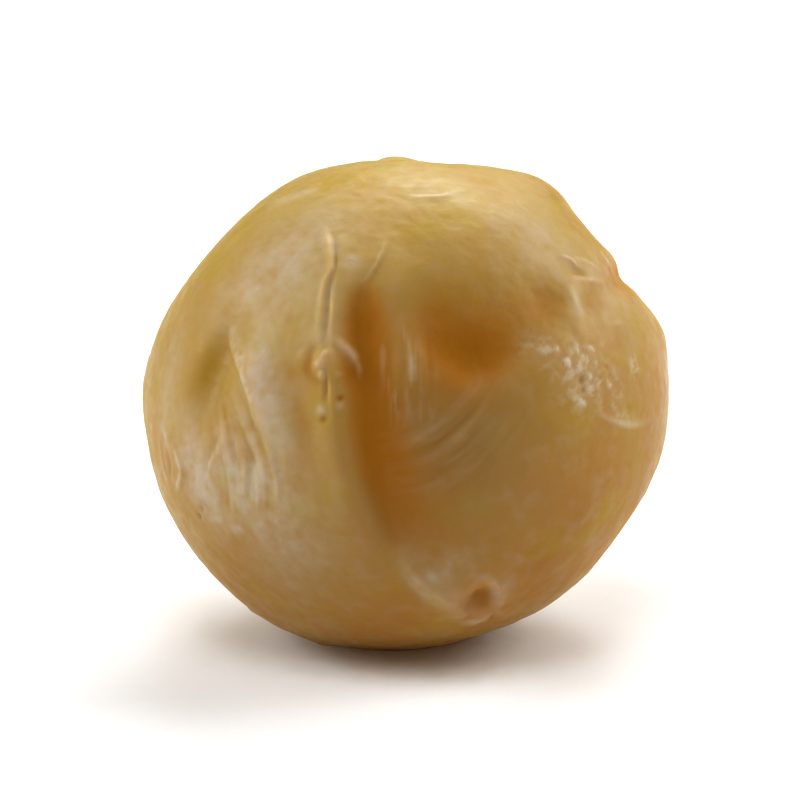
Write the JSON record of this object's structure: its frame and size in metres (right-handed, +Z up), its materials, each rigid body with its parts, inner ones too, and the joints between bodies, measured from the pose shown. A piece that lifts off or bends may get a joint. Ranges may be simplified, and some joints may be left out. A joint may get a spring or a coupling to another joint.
{
  "type": "shelled macadamia kernel",
  "caption": "Nearly round shelled macadamia kernel with its two seed leaves together, a raised tip, a seam, soft hollows and a small flat spot it rests on.",
  "frame": {"origin": "on the surface it lies on, under the middle of the kernel's bounding box, in the plane of the small flat spot", "axes": "+Z up, -Y towards the side the face with the embryo's tip looks to, +X to that face's right, along the kernel's greatest width"},
  "size_m": [0.0186, 0.0168, 0.0171],
  "materials": {
    "kernel": "waxy, slightly oily cream to tan seed flesh, a little translucent"
  },
  "bodies": {
    "root": {"kernel": "kernel"}
  },
  "joints": []
}
